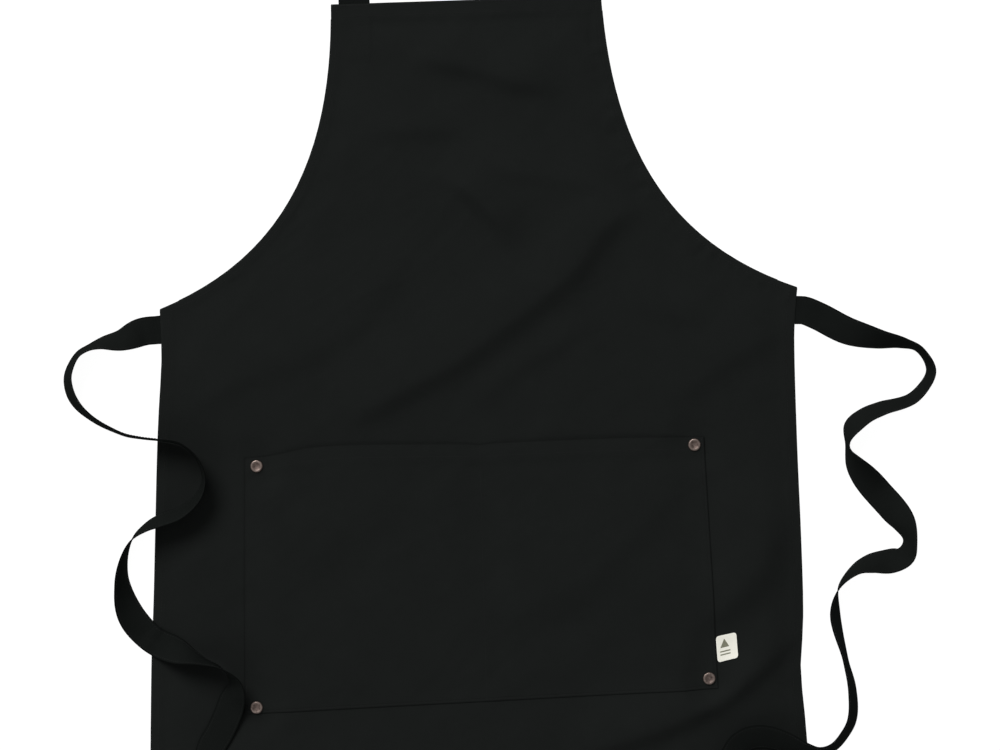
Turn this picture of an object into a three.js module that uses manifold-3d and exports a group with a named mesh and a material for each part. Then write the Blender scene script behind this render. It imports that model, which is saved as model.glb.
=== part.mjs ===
// A bib apron of black cotton canvas, laid on its back on a flat surface, front up.
// Millimetres. +X is to the right as seen from above, +Y points from the hem to the bib, +Z is up, and the
// origin is under the middle of the apron, on the surface that it lies on.
// The cloth lies a little askew, as a laid apron does, so its left and right corners differ.

import * as THREE from "three";
import { mergeVertices } from "three/addons/utils/BufferGeometryUtils.js";
import Module from "manifold-3d";

const wasm = await Module();
wasm.setup();

// ---- driving dimensions ----

const CLOTH = 1.0; // one layer of canvas, with its nap and seam allowance
const GAP = 0.3; // clearance between layers that touch
const LAYER = CLOTH + GAP;

const BIB_TOP_LEFT = [-158.6, 430.4];
const BIB_TOP_RIGHT = [127.6, 440];
const WAIST_LEFT = [-339.7, 108];
const WAIST_RIGHT = [335.4, 131.4];
const HEM_LEFT = [-350, -440];
const HEM_RIGHT = [350, -402];

const ARMHOLE_LEFT_PULL = [[-155, 237], [-235, 151]]; // Bezier handles of the armhole curves
const ARMHOLE_RIGHT_PULL = [[139, 284], [195, 178]];
const SIDE_LEFT_BENDS = [[-337.7, 54], [-342, -31], [-346, -200], [-348.3, -265]];
const SIDE_RIGHT_BENDS = [[332, 85], [334.5, -20], [341.5, -200], [338.8, -272], [343, -318]];

const TOP_HEM = 15;
const ARMHOLE_HEM = 8;
const SIDE_HEM = 10;
const BOTTOM_HEM = 20;
const FOLD_CLEARANCE = 1.6; // armhole length left off the bib at the waist, which frees the fold line
const HEM_RUN_OUT = 22; // an armhole hem ends this far before the waist
const SIDE_HEM_CLEARANCE = 1; // the bottom hem's edge slants up past the end of a side hem

const POCKET_TOP_LEFT = [-250.3, -49.8];
const POCKET_TOP_RIGHT = [236.4, -26.8];
const POCKET_BOTTOM_LEFT = [-250.3, -321];
const POCKET_BOTTOM_RIGHT = [251.8, -293.6];
const POCKET_DIVIDE = 0.512; // share of the width at the stitched divider
const POCKET_SLACK = 5.5; // how far each compartment stands off the skirt
const POCKET_RISE = 30; // distance from a seam over which it rises
const MOUTH_HEM = 15;
const MOUTH_HEM_RISE = 0.87; // share of the height where the panel starts to rise over its mouth hem
const MOUTH_HEM_STEP = 0.015; // share of the height left between that rise and the hem
// How the mouth bows up between the pocket's corners: share of its width, and rise.
const MOUTH_CURVE = [
  [0, 0], [0.05, 1.3], [0.09, 4.2], [0.14, 8.2], [0.2, 9.3], [0.28, 8.6], [0.36, 7.1], [0.46, 5],
  [POCKET_DIVIDE, 2.8], [0.57, 4], [0.72, 3.7], [0.86, 2.7], [0.95, 0.8], [1, 0],
];

const RIVETS = [
  { name: "top_left", at: [-237, -58.3], layers: 3 },
  { name: "top_right", at: [226.3, -35.6], layers: 3 },
  { name: "bottom_left", at: [-237, -313.8], layers: 2 },
  { name: "bottom_right", at: [242.1, -283], layers: 2 },
];
const RIVET_CAP_R = 6.5;
const RIVET_CAP_HEIGHT = 2.2;
const RIVET_CAP_SOCKET = 1.5;
const RIVET_CAP_CORNER = 0.9; // height of the cap's rounded shoulder
const RIVET_CAP_RIM = 2.4; // width of the cap's raised rim
const RIVET_CAP_DISH = 0.3; // how far the cap's middle is dished below its rim
const RIVET_BACK_R = 5.5;
const RIVET_POST_R = 1.4;
const RIVET_HOLE_R = 1.8;
const RIVET_HOLD = 8; // radius round a rivet that stays flat

const TIE_WIDTH = 30;
const NECK_WIDTH = 33;
const STRAP_THICKNESS = 1.2;
const SEWN_TIE = 33; // length of a tie's end sewn behind the skirt
const SEWN_NECK = 40; // length of a neck strap's end sewn behind the bib, below the top hem
const TIE_LEFT_INSET = 3.4; // how far inside the skirt's edge the side hem is counted from, at each tie
const TIE_RIGHT_INSET = 5.4;
const NECK_CLEARANCE = 2; // between the top hem and the sewn ends below it

const LABEL_CORNERS = [[249.1, -239], [270.3, -233.7], [272.4, -260.4], [251.2, -266.4]];
const LABEL_THICKNESS = 1.2;

// Strap routes: x, y, height of what it lies on, and lean in degrees. Lean 0 lies flat, 90 stands on edge,
// and 180 lies flat with the other face up.
const ON = 3; // height of a strap's resting side where it lies on the apron
const TIE_LEFT_ROUTE = [
  [-341, 86, 0, 0], [-358, 84, 0, 0], [-380, 75, 0, 39], [-399, 72, 0, 62], [-413, 67, 0, 74],
  [-425, 59, 0, 72], [-435, 36, 0, 65], [-430, 14, 0, 64], [-413, -5, 0, 73], [-377, -24, 0, 81],
  [-357, -28, 2.6, 84], [-339, -30, 3.2, 85], [-317, -34, ON, 82], [-299, -49, ON, 79], [-291, -71, ON, 76],
  [-297, -90, ON, 71], [-316, -107, ON, 65], [-337, -115, ON, 64], [-352, -122, ON, 73],
  [-368, -136, 0, 86], [-377, -162, 0, 101], [-377, -187, 0, 118], [-369, -215, 2.4, 153],
  [-357, -233, ON, 178], [-342, -245, ON, 180], [-323, -252, ON, 154], [-306, -258, ON, 118],
  [-292, -263, 3.5, 98], [-273, -270, 6, 84], [-258, -287, 5.5, 56], [-263, -309, 4.4, 12],
  [-275, -338, 3.2, 0], [-285, -356, ON, 0], [-291, -385, ON, 0], [-292, -418, ON, 0], [-288, -447, 2.9, 8],
  [-277, -474, 0, 22], [-250, -497, 0, 30], [-204, -502, 0, 22], [-134, -478, 0, 0],
];
const TIE_RIGHT_ROUTE = [
  [337, 107, 0, 0], [343, 106.6, 0, 0], [359, 100, 0, 0], [388, 85, 0, 18], [421, 76, 0, 50],
  [445, 72, 0, 70], [463, 65, 0, 83], [475, 42, 0, 80], [456, 14, 0, 71], [423, 3, 0, 63], [407, -4, 0, 60],
  [392, -17, 0, 60], [387, -36, 0, 93], [393, -52, 0, 62], [405, -68, 0, 30], [422, -87, 0, 3],
  [437, -104, 0, 12], [448, -120, 0, 45], [453, -137, 0, 72], [448, -152, 0, 53], [434, -158, 0, 36],
  [412, -161, 0, 53], [396, -167, 0, 75], [378, -186, 0, 96], [374, -212, 0, 118], [385, -262, 0, 107],
  [392, -294, 0, 114], [392, -325, 0, 118], [382, -344, 0.4, 118], [369, -356, 2.2, 118],
  [355, -360, ON, 122], [340, -357, ON, 130], [321, -349, ON, 142], [302, -344, ON, 150],
  [286, -345, 3.2, 154], [274, -352, ON, 157], [266, -366, ON, 161], [259, -385, ON, 168],
  [253, -405, ON, 174], [248, -425, 2.9, 180], [240, -452, 0, 180], [212, -488, 0, 176],
];
const NECK_ROUTE = [
  [-134, 432.4, 0, 0], [-136, 470, 0, 2], [-133, 515, 0, 12], [-122, 560, 0, 32], [-102, 602, 0, 55],
  [-72, 636, 0, 74], [-36, 655, 0, 82], [2, 657, 0, 82], [38, 642, 0, 76], [67, 614, 0, 60],
  [86, 577, 0, 38], [95, 535, 0, 18], [97, 490, 0, 4], [96, 440.3, 0, 0],
];

// Steps in a strap's mesh, which keep each below its share of triangles.
const STEPS_PER_SPAN = 3;
const STEPS_MOST = 78;

const ARMHOLE_PIECES = 24;
const SIDE_PIECES = 20;
const HEM_PIECES = 22;
const SIDE_HEM_PIECES = 16;
const RIVET_SIDES = 20;
const DRILL_LENGTH = 60;
const DRILL_SIDES = 12;
const HOLE_SEGMENTS = 6;

// ---- materials ----

const canvas = () => new THREE.MeshStandardMaterial({ color: 0x1c1e1d, roughness: 0.92, metalness: 0 });
const copper = () => new THREE.MeshStandardMaterial({ color: 0x6b4a3c, roughness: 0.4, metalness: 1 });
const cream = () => new THREE.MeshStandardMaterial({ color: 0xe9e6d8, roughness: 0.85, metalness: 0 });

// ---- small tools ----

const apron = new THREE.Group();

function add(name, geometry, material) {
  const mesh = new THREE.Mesh(geometry, material);
  mesh.name = name;
  apron.add(mesh);
  return mesh;
}

const vec = ([x, y]) => new THREE.Vector2(x, y);

// A flat piece with the given outline and round holes, lying from height z upward.
function plate(outline, z, thickness, holes = [], holeRadius = 0) {
  const shape = new THREE.Shape(outline);
  for (const [x, y] of holes) {
    const hole = new THREE.Path();
    hole.absarc(x, y, holeRadius, 0, Math.PI * 2, true);
    shape.holes.push(hole);
  }
  const settings = { depth: thickness, bevelEnabled: false, curveSegments: HOLE_SEGMENTS };
  return new THREE.ExtrudeGeometry(shape, settings).translate(0, 0, z);
}

// The line at a distance to the left of a line's direction, for hems.
function offset(line, distance) {
  return line.map((p, i) => {
    const before = line[Math.max(i - 1, 0)];
    const after = line[Math.min(i + 1, line.length - 1)];
    const along = after.clone().sub(before).normalize();
    return new THREE.Vector2(p.x - along.y * distance, p.y + along.x * distance);
  });
}

// A strip between a line and its offset.
function strip(line, width, z) {
  return plate([...line, ...offset(line, width).reverse()], z, CLOTH);
}

// Points along a curve between two lengths measured from its two ends.
function stretch(curve, fromStart, fromEnd, pieces) {
  const length = curve.getLength();
  const points = [];
  for (let i = 0; i <= pieces; i++) {
    const along = fromStart + (length - fromStart - fromEnd) * (i / pieces);
    points.push(curve.getPointAt(along / length));
  }
  return points;
}

// A closed solid between an upper and a lower grid of points, rows by columns.
function slab(upper, lower) {
  const rows = upper.length;
  const columns = upper[0].length;
  const positions = [...upper.flat(), ...lower.flat()].flat();
  const top = (r, c) => r * columns + c;
  const bottom = (r, c) => rows * columns + top(r, c);
  const faces = [];
  const quad = (a, b, c, d) => faces.push(a, b, c, a, c, d);
  for (let r = 0; r < rows - 1; r++) {
    for (let c = 0; c < columns - 1; c++) {
      quad(top(r, c), top(r, c + 1), top(r + 1, c + 1), top(r + 1, c));
      quad(bottom(r, c), bottom(r + 1, c), bottom(r + 1, c + 1), bottom(r, c + 1));
    }
    quad(top(r, 0), top(r + 1, 0), bottom(r + 1, 0), bottom(r, 0));
    const last = columns - 1;
    quad(top(r, last), bottom(r, last), bottom(r + 1, last), top(r + 1, last));
  }
  for (let c = 0; c < columns - 1; c++) {
    quad(top(0, c), bottom(0, c), bottom(0, c + 1), top(0, c + 1));
    const last = rows - 1;
    quad(top(last, c), top(last, c + 1), bottom(last, c + 1), bottom(last, c));
  }
  const geometry = new THREE.BufferGeometry();
  geometry.setAttribute("position", new THREE.Float32BufferAttribute(positions, 3));
  geometry.setIndex(faces);
  return geometry;
}

function toSolid(geometry) {
  const bare = geometry.clone();
  bare.deleteAttribute("normal");
  bare.deleteAttribute("uv");
  const merged = mergeVertices(bare);
  return new wasm.Manifold(new wasm.Mesh({
    numProp: 3,
    vertProperties: new Float32Array(merged.attributes.position.array),
    triVerts: new Uint32Array(merged.index.array),
  }));
}

// The geometry with round holes punched down through it.
function punch(geometry, places, radius) {
  let solid = toSolid(geometry);
  for (const [x, y] of places) {
    const drill = new THREE.CylinderGeometry(radius, radius, DRILL_LENGTH, DRILL_SIDES);
    drill.rotateX(Math.PI / 2);
    drill.translate(x, y, 0);
    solid = solid.subtract(toSolid(drill));
  }
  const mesh = solid.getMesh();
  const result = new THREE.BufferGeometry();
  result.setAttribute("position", new THREE.Float32BufferAttribute(mesh.vertProperties, 3));
  result.setIndex([...mesh.triVerts]);
  return result;
}

// ---- body of the apron: bib, skirt and their turned hems ----

const armhole = (top, pull, waist) => new THREE.CubicBezierCurve(...[top, ...pull, waist].map(vec));
const armholeLeft = armhole(BIB_TOP_LEFT, ARMHOLE_LEFT_PULL, WAIST_LEFT);
const armholeRight = armhole(BIB_TOP_RIGHT, ARMHOLE_RIGHT_PULL, WAIST_RIGHT);
const sideLeft = new THREE.SplineCurve([WAIST_LEFT, ...SIDE_LEFT_BENDS, HEM_LEFT].map(vec));
const sideRight = new THREE.SplineCurve([WAIST_RIGHT, ...SIDE_RIGHT_BENDS, HEM_RIGHT].map(vec));
const rivetPlaces = RIVETS.map((rivet) => rivet.at);

// The outline between a left and a right curve, with the same lengths left off both.
function between(left, right, fromStart, fromEnd, pieces) {
  const leftLine = stretch(left, fromStart, fromEnd, pieces);
  return [...leftLine, ...stretch(right, fromStart, fromEnd, pieces).reverse()];
}

function makeBody() {
  const bib = between(armholeLeft, armholeRight, 0, FOLD_CLEARANCE, ARMHOLE_PIECES);
  add("bib_panel", plate(bib, LAYER, CLOTH), canvas());

  const skirt = between(sideLeft, sideRight, 0, 0, SIDE_PIECES);
  add("skirt_panel", plate(skirt, LAYER, CLOTH, rivetPlaces, RIVET_HOLE_R), canvas());
}

function makeHems() {
  const top = [...stretch(armholeLeft, 0, armholeLeft.getLength() - TOP_HEM, 1)];
  top.push(...stretch(armholeRight, 0, armholeRight.getLength() - TOP_HEM, 1).reverse());
  add("bib_top_hem", plate(top, 0, CLOTH), canvas());

  const armholeStart = TOP_HEM + GAP;
  const sideEnd = BOTTOM_HEM + SIDE_HEM_CLEARANCE;
  const sides = [["left", armholeLeft, sideLeft, 1], ["right", armholeRight, sideRight, -1]];
  for (const [name, hole, side, inward] of sides) {
    const holeLine = stretch(hole, armholeStart, HEM_RUN_OUT, HEM_PIECES);
    add(`armhole_hem_${name}`, strip(holeLine, inward * ARMHOLE_HEM, 0), canvas());
    const sideLine = stretch(side, SIDE_HEM_CLEARANCE, sideEnd, SIDE_HEM_PIECES);
    add(`side_hem_${name}`, strip(sideLine, inward * SIDE_HEM, 0), canvas());
  }

  const bottom = [...stretch(sideLeft, sideLeft.getLength() - BOTTOM_HEM, 0, 1)];
  bottom.push(...stretch(sideRight, sideRight.getLength() - BOTTOM_HEM, 0, 1).reverse());
  add("bottom_hem", plate(bottom, 0, CLOTH), canvas());
}

// ---- patch pocket, slack enough to take a hand, with a stitched divider ----

const smooth = (t) => {
  const c = Math.min(Math.max(t, 0), 1);
  return c * c * (3 - 2 * c);
};
const mix = (a, b, t) => a + (b - a) * t;

// How far the mouth bows up at a share of its width.
function mouthRise(u) {
  const next = Math.max(MOUTH_CURVE.findIndex(([share]) => share >= u), 1);
  const [before, low] = MOUTH_CURVE[next - 1];
  const [after, high] = MOUTH_CURVE[next];
  return mix(low, high, (u - before) / (after - before));
}

function pocketPoint(u, v) {
  const [x, y] = [0, 1].map((i) => {
    const low = mix(POCKET_BOTTOM_LEFT[i], POCKET_BOTTOM_RIGHT[i], u);
    const high = mix(POCKET_TOP_LEFT[i], POCKET_TOP_RIGHT[i], u);
    return mix(low, high, v);
  });
  return [x, y + mouthRise(u) * v * v];
}

// How far the pocket stands off the skirt: nothing at its seams and rivets, all its slack between them.
function pocketLift(u, v) {
  const width = POCKET_TOP_RIGHT[0] - POCKET_TOP_LEFT[0];
  const height = POCKET_TOP_LEFT[1] - POCKET_BOTTOM_LEFT[1];
  const [x, y] = pocketPoint(u, v);
  let lift = POCKET_SLACK * smooth((u * width) / POCKET_RISE) * smooth(((1 - u) * width) / POCKET_RISE);
  lift *= smooth((Math.abs(u - POCKET_DIVIDE) * width) / POCKET_RISE) * smooth((v * height) / POCKET_RISE);
  for (const [rx, ry] of rivetPlaces) {
    lift *= smooth((Math.hypot(x - rx, y - ry) - RIVET_HOLD) / POCKET_RISE);
  }
  return lift;
}

function makePocket() {
  const height = POCKET_TOP_LEFT[1] - POCKET_BOTTOM_LEFT[1];
  const hemStart = 1 - MOUTH_HEM / height;
  const acrossEachSide = [0, 0.03, 0.06, 0.09, 0.12, 0.17, 0.25, 0.38];
  const half = [...acrossEachSide, 0.5, ...acrossEachSide.map((s) => 1 - s).reverse()];
  const columns = [
    ...half.map((s) => s * POCKET_DIVIDE),
    ...half.slice(1).map((s) => POCKET_DIVIDE + s * (1 - POCKET_DIVIDE)),
  ];
  const hemRows = [hemStart, (hemStart + 1) / 2, 1];
  const risen = hemStart - MOUTH_HEM_STEP;
  const rows = [0, 0.03, 0.06, 0.09, 0.12, 0.2, 0.45, 0.7, 0.8, MOUTH_HEM_RISE, risen, ...hemRows];
  const overHem = (v) => LAYER * smooth((v - MOUTH_HEM_RISE) / (risen - MOUTH_HEM_RISE));
  const level = (u, v, z) => [...pocketPoint(u, v), z + pocketLift(u, v)];

  const base = 2 * LAYER;
  const grid = (z) => rows.map((v) => columns.map((u) => level(u, v, z + overHem(v))));
  const panel = slab(grid(base + CLOTH), grid(base));
  add("pocket_panel", punch(panel, rivetPlaces, RIVET_HOLE_R), canvas());

  const hemGrid = (z) => hemRows.map((v) => columns.map((u) => level(u, v, z)));
  const hem = slab(hemGrid(base + CLOTH), hemGrid(base));
  add("pocket_mouth_hem", punch(hem, rivetPlaces.slice(0, 2), RIVET_HOLE_R), canvas());
}

// ---- rivets at the pocket's corners: a flanged post from behind, pressed into a cap in front ----

function makeRivets() {
  for (const { name, at, layers } of RIVETS) {
    const capBase = LAYER * (layers + 1);
    const postTop = capBase + RIVET_CAP_SOCKET - GAP;
    const back = [
      [0, 0], [RIVET_BACK_R, 0], [RIVET_BACK_R, CLOTH], [RIVET_POST_R, CLOTH],
      [RIVET_POST_R, postTop], [0, postTop],
    ];
    const socketTop = capBase + RIVET_CAP_SOCKET;
    const capTop = capBase + RIVET_CAP_HEIGHT;
    const cap = [
      [0, socketTop], [RIVET_HOLE_R, socketTop], [RIVET_HOLE_R, capBase], [RIVET_CAP_R, capBase],
      [RIVET_CAP_R, capTop - RIVET_CAP_CORNER], [RIVET_CAP_R - RIVET_CAP_CORNER, capTop],
      [RIVET_CAP_R - RIVET_CAP_RIM, capTop - RIVET_CAP_DISH], [0, capTop - RIVET_CAP_DISH],
    ];
    for (const [part, profile] of [["rivet_back", back], ["rivet_cap", cap]]) {
      const geometry = new THREE.LatheGeometry(profile.map(vec), RIVET_SIDES);
      geometry.rotateX(Math.PI / 2);
      geometry.translate(at[0], at[1], 0);
      add(`${part}_${name}`, geometry, copper());
    }
  }
}

// ---- straps ----

// A flat strap swept along its route. At each step its width turns by the lean about the way it runs.
function strap(route, width) {
  const stops = route.map(([x, y, rest]) => new THREE.Vector3(x, y, rest));
  const path = new THREE.CatmullRomCurve3(stops, false, "centripetal");
  const spans = route.length - 1;
  const steps = Math.min(spans * STEPS_PER_SPAN, STEPS_MOST);
  const upper = [];
  const lower = [];
  const up = new THREE.Vector3(0, 0, 1);
  for (let i = 0; i <= steps; i++) {
    const t = i / steps;
    const span = Math.min(Math.floor(t * spans), spans - 1);
    const lean = THREE.MathUtils.degToRad(mix(route[span][3], route[span + 1][3], t * spans - span));
    const centre = path.getPoint(t);
    const halfWidth = width / 2;
    const rise = halfWidth * Math.abs(Math.sin(lean)) + (STRAP_THICKNESS / 2) * Math.abs(Math.cos(lean));
    centre.z = Math.max(centre.z, 0) + rise;
    const along = path.getTangent(t).setZ(0).normalize();
    const side = up.clone().cross(along);
    const across = side.clone().multiplyScalar(Math.cos(lean)).addScaledVector(up, Math.sin(lean));
    const face = along.clone().cross(across).multiplyScalar(STRAP_THICKNESS / 2);
    const edges = [-halfWidth, halfWidth].map((w) => centre.clone().addScaledVector(across, w));
    upper.push(edges.map((p) => p.clone().add(face).toArray()));
    lower.push(edges.map((p) => p.clone().sub(face).toArray()));
  }
  const turned = (rows) => rows.map((row) => [...row].reverse());
  return slab(turned(upper), turned(lower));
}

// A strap's end, sewn flat behind the cloth.
function sewnEnd(centre, width, length) {
  const [x, y] = centre;
  const w = width / 2;
  const l = length / 2;
  return plate([[x - w, y - l], [x + w, y - l], [x + w, y + l], [x - w, y + l]].map(vec), 0, CLOTH);
}

function makeStraps() {
  add("waist_tie_left", strap(TIE_LEFT_ROUTE, TIE_WIDTH), canvas());
  add("waist_tie_right", strap(TIE_RIGHT_ROUTE, TIE_WIDTH), canvas());
  add("neck_strap", strap(NECK_ROUTE, NECK_WIDTH), canvas());

  const behindSide = SIDE_HEM + 2 * GAP + SEWN_TIE / 2;
  const [leftX, leftY] = TIE_LEFT_ROUTE[0];
  const [rightX, rightY] = TIE_RIGHT_ROUTE[0];
  const leftEnd = [leftX + TIE_LEFT_INSET + behindSide, leftY];
  const rightEnd = [rightX - TIE_RIGHT_INSET - behindSide, rightY];
  add("tie_end_left", sewnEnd(leftEnd, SEWN_TIE, TIE_WIDTH), canvas());
  add("tie_end_right", sewnEnd(rightEnd, SEWN_TIE, TIE_WIDTH), canvas());

  const belowHem = TOP_HEM + NECK_CLEARANCE + SEWN_NECK / 2;
  const neckEnds = { left: NECK_ROUTE[0], right: NECK_ROUTE[NECK_ROUTE.length - 1] };
  for (const [side, [x, y]] of Object.entries(neckEnds)) {
    add(`neck_end_${side}`, sewnEnd([x, y - belowHem], NECK_WIDTH, SEWN_NECK), canvas());
  }
}

// ---- folded tab sewn into the pocket's side seam ----

function makeLabel() {
  add("side_label", plate(LABEL_CORNERS.map(vec), 2 * LAYER, LABEL_THICKNESS), cream());
}

makeBody();
makeHems();
makePocket();
makeRivets();
makeStraps();
makeLabel();

export default apron;
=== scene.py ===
import math

import bpy
import numpy as np
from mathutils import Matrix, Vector, noise


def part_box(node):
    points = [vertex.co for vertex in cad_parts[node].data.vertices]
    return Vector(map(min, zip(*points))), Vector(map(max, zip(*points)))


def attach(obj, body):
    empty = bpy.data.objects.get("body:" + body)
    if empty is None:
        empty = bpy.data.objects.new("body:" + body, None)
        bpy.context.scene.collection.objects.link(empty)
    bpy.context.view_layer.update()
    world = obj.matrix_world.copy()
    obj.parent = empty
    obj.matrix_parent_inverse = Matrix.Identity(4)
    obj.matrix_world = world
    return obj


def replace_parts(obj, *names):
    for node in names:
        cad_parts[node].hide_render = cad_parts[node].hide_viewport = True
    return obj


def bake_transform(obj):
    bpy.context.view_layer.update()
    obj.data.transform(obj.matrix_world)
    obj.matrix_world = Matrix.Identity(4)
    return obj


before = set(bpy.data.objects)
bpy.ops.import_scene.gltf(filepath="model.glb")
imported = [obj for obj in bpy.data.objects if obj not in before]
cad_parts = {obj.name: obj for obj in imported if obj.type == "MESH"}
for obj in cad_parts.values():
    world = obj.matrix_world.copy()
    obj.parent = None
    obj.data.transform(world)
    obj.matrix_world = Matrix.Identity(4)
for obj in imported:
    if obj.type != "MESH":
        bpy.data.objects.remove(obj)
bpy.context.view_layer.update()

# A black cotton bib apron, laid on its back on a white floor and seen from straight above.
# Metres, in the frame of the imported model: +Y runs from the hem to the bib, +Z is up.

MM = 0.001

# ---- camera ----

VIEW_CENTRE = (0.0206, 0.0382)
VIEW_WIDTH = 1.06  # what the picture spans on the floor
LENS_MM = 85
SENSOR_MM = 36
FARTHEST = 50  # the camera sees this far


def add_object(name, data):
    thing = bpy.data.objects.new(name, data)
    bpy.context.scene.collection.objects.link(thing)
    return thing


def make_camera():
    data = bpy.data.cameras.new("camera")
    data.lens = LENS_MM
    data.sensor_width = SENSOR_MM
    data.clip_end = FARTHEST
    camera = add_object("camera", data)
    camera.location = (*VIEW_CENTRE, VIEW_WIDTH * LENS_MM / SENSOR_MM)
    bpy.context.scene.camera = camera


# ---- straps: the routes of part.mjs, as x, y, height of what they lie on, and lean in degrees ----

STRAP_THICKNESS = 1.2 * MM
TIE_WIDTH = 30 * MM
NECK_WIDTH = 33 * MM
TIE_LENGTH = 0.97
NECK_LENGTH = 0.57
ON = 0.003  # height of the cloth's face, where a strap lies on it
STRAP_STEP = 2.4 * MM  # between two rows of a strap's points
STRAP_SEAM = 2.6 * MM  # its stitching lies this far inside its edges
STRAP_MARKS = np.array([0, 0.25, 0.9, 1.9, 2.6, 3.3, 4.4, 7.5, 11]) * MM  # of its points, from its edges
STRAP_TAPER = 9 * MM  # a sewn-in end is pressed flat over this length
TIE_LEFT_ROUTE = [
    (-0.341, 0.086, 0, 0), (-0.358, 0.084, 0, 0), (-0.380, 0.075, 0, 39), (-0.399, 0.072, 0, 62),
    (-0.413, 0.067, 0, 74), (-0.425, 0.059, 0, 72), (-0.435, 0.036, 0, 65), (-0.430, 0.014, 0, 64),
    (-0.413, -0.005, 0, 73), (-0.377, -0.024, 0, 81), (-0.357, -0.028, 0.0026, 84),
    (-0.339, -0.030, 0.0032, 85), (-0.317, -0.034, ON, 82), (-0.299, -0.049, ON, 79),
    (-0.291, -0.071, ON, 76), (-0.297, -0.090, ON, 71), (-0.316, -0.107, ON, 65), (-0.337, -0.115, ON, 64),
    (-0.352, -0.122, ON, 73), (-0.368, -0.136, 0, 86), (-0.377, -0.162, 0, 101), (-0.377, -0.187, 0, 118),
    (-0.369, -0.215, 0.0024, 153), (-0.357, -0.233, ON, 178), (-0.342, -0.245, ON, 180),
    (-0.323, -0.252, ON, 154), (-0.306, -0.258, ON, 118), (-0.292, -0.263, 0.0035, 98),
    (-0.273, -0.270, 0.006, 84), (-0.258, -0.287, 0.0055, 56), (-0.263, -0.309, 0.0044, 12),
    (-0.275, -0.338, 0.0032, 0), (-0.285, -0.356, ON, 0), (-0.291, -0.385, ON, 0), (-0.292, -0.418, ON, 0),
    (-0.288, -0.447, 0.0029, 8), (-0.277, -0.474, 0, 22), (-0.250, -0.497, 0, 30), (-0.204, -0.502, 0, 22),
    (-0.134, -0.478, 0, 0),
]
TIE_RIGHT_ROUTE = [
    (0.337, 0.107, 0, 0), (0.343, 0.1066, 0, 0), (0.359, 0.100, 0, 0), (0.388, 0.085, 0, 18),
    (0.421, 0.076, 0, 50), (0.445, 0.072, 0, 70), (0.463, 0.065, 0, 83), (0.475, 0.042, 0, 80),
    (0.456, 0.014, 0, 71), (0.423, 0.003, 0, 63), (0.407, -0.004, 0, 60), (0.392, -0.017, 0, 60),
    (0.387, -0.036, 0, 93),
    (0.393, -0.052, 0, 62), (0.405, -0.068, 0, 30), (0.422, -0.087, 0, 3), (0.437, -0.104, 0, 12),
    (0.448, -0.120, 0, 45), (0.453, -0.137, 0, 72), (0.448, -0.152, 0, 53), (0.434, -0.158, 0, 36),
    (0.412, -0.161, 0, 53), (0.396, -0.167, 0, 75), (0.378, -0.186, 0, 96), (0.374, -0.212, 0, 118),
    (0.385, -0.262, 0, 107), (0.392, -0.294, 0, 114), (0.392, -0.325, 0, 118), (0.382, -0.344, 0.0004, 118),
    (0.369, -0.356, 0.0022, 118), (0.355, -0.360, ON, 122), (0.340, -0.357, ON, 130),
    (0.321, -0.349, ON, 142), (0.302, -0.344, ON, 150), (0.286, -0.345, 0.0032, 154),
    (0.274, -0.352, ON, 157), (0.266, -0.366, ON, 161), (0.259, -0.385, ON, 168), (0.253, -0.405, ON, 174),
    (0.248, -0.425, 0.0029, 180), (0.240, -0.452, 0, 180), (0.212, -0.488, 0, 176),
]
NECK_ROUTE = [
    (-0.134, 0.4324, 0, 0), (-0.136, 0.470, 0, 2), (-0.133, 0.515, 0, 12), (-0.122, 0.560, 0, 32),
    (-0.102, 0.602, 0, 55), (-0.072, 0.636, 0, 74), (-0.036, 0.655, 0, 82), (0.002, 0.657, 0, 82),
    (0.038, 0.642, 0, 76), (0.067, 0.614, 0, 60), (0.086, 0.577, 0, 38), (0.095, 0.535, 0, 18),
    (0.097, 0.490, 0, 4), (0.096, 0.4403, 0, 0),
]

# ---- numbers of the cloth ----

CLOTH = 0.9 * MM  # one layer of canvas
LAYER = 1.3 * MM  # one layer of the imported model, with its gap
ON_HEM = 1.05 * MM  # height of the body cloth's underside where it lies on its hems
LOW = 0.5 * MM  # height of its underside where nothing is under it
TOP_HEM = 15 * MM
ARMHOLE_HEM = 8 * MM
SIDE_HEM = 10 * MM
BOTTOM_HEM = 20 * MM
HEM_FROM_EDGE = 0.35 * MM  # a turned edge stands out past the cloth by this much
HEM_GAP = 0.08 * MM  # between the body cloth and a hem behind it
HEM_THICKNESS = 0.75 * MM
HEM_SLOPE = 6 * MM  # the body cloth comes down off a hem over this length
OFF_FLOOR = 0.02 * MM  # the lowest pieces keep this far off the floor
SEWN_REACH = 16 * MM  # a sewn end runs on under the hem by this much
SEWN_THICKNESS = 0.40 * MM  # it is pressed flat by the cloth on it
TAIL = 4 * MM  # a strap starts this far inside the cloth's edge
EDGE_ROUND = 0.9 * MM  # the cloth's edge is rounded over this width
END_SLOPE = 3 * MM  # the cloth comes down off a strap's sewn end over this length
RIVET_SEAT = 6 * MM  # the cloth lies on a rivet's back out to this radius
RIVET_SLOPE = 8 * MM  # and comes down off it over this length
RIVET_HOLE = 4 * MM  # outline points nearer to a rivet than this belong to its hole
POCKET_THICKNESS = 1.0 * MM
MOUTH_SHARE = 0.55  # the mouth's turned hem is pressed to this share of a layer
POCKET_DIVIDE = 0.512
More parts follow.
